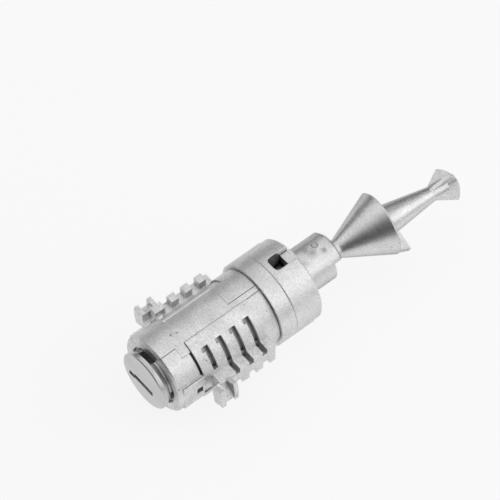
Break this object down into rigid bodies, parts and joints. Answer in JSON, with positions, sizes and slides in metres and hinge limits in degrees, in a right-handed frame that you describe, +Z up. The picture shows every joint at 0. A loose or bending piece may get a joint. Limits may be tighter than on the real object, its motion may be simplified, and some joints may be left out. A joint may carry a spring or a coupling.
{
  "type": "door lock cylinder",
  "caption": "Vehicle door lock cylinder with a sprung wafer plug, shuttered keyway, side combs, a drive collar and a floating hub with a tilting tailpiece.",
  "frame": {"origin": "centre of the lock's face, where the key's shoulder stops", "axes": "+Y runs from the face towards the tail along the lock's axis, +Z is up and +X is the side with the right comb"},
  "size_m": [0.044, 0.1238, 0.03],
  "materials": {
    "cast_zinc": null,
    "machined_zinc": null,
    "satin_steel": "satin stainless steel",
    "spring_steel": "drawn spring wire",
    "brass": "stamped brass"
  },
  "bodies": {
    "barrel": {"barrel_housing": "cast_zinc", "nose_cover_right": "cast_zinc", "nose_cover_left": "cast_zinc", "comb_shell_right": "cast_zinc", "comb_shell_left": "cast_zinc", "return_spring": "spring_steel"},
    "plug_set": {"plug": "machined_zinc", "face_cap": "satin_steel", "shutter_pin": "spring_steel", "shutter_spring": "spring_steel", "plug_clip": "spring_steel", "drive_carrier": "machined_zinc", "collar_cup": "cast_zinc", "float_spring": "spring_steel", "wafer_spring_1": "spring_steel", "wafer_spring_2": "spring_steel", "wafer_spring_3": "spring_steel", "wafer_spring_4": "spring_steel", "wafer_spring_5": "spring_steel", "wafer_spring_6": "spring_steel", "wafer_spring_7": "spring_steel", "wafer_spring_8": "spring_steel"},
    "shutter": {"keyway_shutter": "satin_steel"},
    "hub_set": {"coupling_hub": "cast_zinc", "tail_pin": "satin_steel"},
    "tail": {"tailpiece": "cast_zinc"},
    "wafer_1": {"wafer_1": "brass"},
    "wafer_2": {"wafer_2": "brass"},
    "wafer_3": {"wafer_3": "brass"},
    "wafer_4": {"wafer_4": "brass"},
    "wafer_5": {"wafer_5": "brass"},
    "wafer_6": {"wafer_6": "brass"},
    "wafer_7": {"wafer_7": "brass"},
    "wafer_8": {"wafer_8": "brass"}
  },
  "joints": [
    {"name": "plug_turn", "type": "hinge", "parent": "barrel", "child": "plug_set", "pos_m": [0, 0, 0], "axis": [0, 1, 0], "range_deg": [-60, 60], "stiffness_Nm_per_rad": 0.08, "deforming": ["return_spring"]},
    {"name": "shutter_swing", "type": "hinge", "parent": "plug_set", "child": "shutter", "pos_m": [0, 0.0026, 0.00025], "axis": [1, 0, 0], "range_deg": [0, 90], "stiffness_Nm_per_rad": 0.0015, "springref_deg": -28.65, "deforming": ["shutter_spring"]},
    {"name": "hub_float", "type": "slide", "parent": "plug_set", "child": "hub_set", "axis": [0, 1, 0], "range_m": [-0.004, 0], "stiffness_N_per_m": 400, "springref_m": 0.004, "deforming": ["float_spring"]},
    {"name": "tail_tilt", "type": "hinge", "parent": "hub_set", "child": "tail", "pos_m": [0, 0.0705, 0], "axis": [-0.2164, 0, 0.9763], "range_deg": [-2.4, 13.6]},
    {"name": "wafer_1_slide", "type": "slide", "parent": "plug_set", "child": "wafer_1", "axis": [1, 0, 0], "range_m": [0, 0.0008], "stiffness_N_per_m": 150, "springref_m": -0.002, "deforming": ["wafer_spring_1"]},
    {"name": "wafer_2_slide", "type": "slide", "parent": "plug_set", "child": "wafer_2", "axis": [-1, 0, 0], "range_m": [0, 0.0008], "stiffness_N_per_m": 150, "springref_m": -0.002, "deforming": ["wafer_spring_2"]},
    {"name": "wafer_3_slide", "type": "slide", "parent": "plug_set", "child": "wafer_3", "axis": [1, 0, 0], "range_m": [0, 0.0008], "stiffness_N_per_m": 150, "springref_m": -0.002, "deforming": ["wafer_spring_3"]},
    {"name": "wafer_4_slide", "type": "slide", "parent": "plug_set", "child": "wafer_4", "axis": [-1, 0, 0], "range_m": [0, 0.0008], "stiffness_N_per_m": 150, "springref_m": -0.002, "deforming": ["wafer_spring_4"]},
    {"name": "wafer_5_slide", "type": "slide", "parent": "plug_set", "child": "wafer_5", "axis": [1, 0, 0], "range_m": [0, 0.0008], "stiffness_N_per_m": 150, "springref_m": -0.002, "deforming": ["wafer_spring_5"]},
    {"name": "wafer_6_slide", "type": "slide", "parent": "plug_set", "child": "wafer_6", "axis": [-1, 0, 0], "range_m": [0, 0.0008], "stiffness_N_per_m": 150, "springref_m": -0.002, "deforming": ["wafer_spring_6"]},
    {"name": "wafer_7_slide", "type": "slide", "parent": "plug_set", "child": "wafer_7", "axis": [1, 0, 0], "range_m": [0, 0.0008], "stiffness_N_per_m": 150, "springref_m": -0.002, "deforming": ["wafer_spring_7"]},
    {"name": "wafer_8_slide", "type": "slide", "parent": "plug_set", "child": "wafer_8", "axis": [-1, 0, 0], "range_m": [0, 0.0008], "stiffness_N_per_m": 150, "springref_m": -0.002, "deforming": ["wafer_spring_8"]}
  ]
}
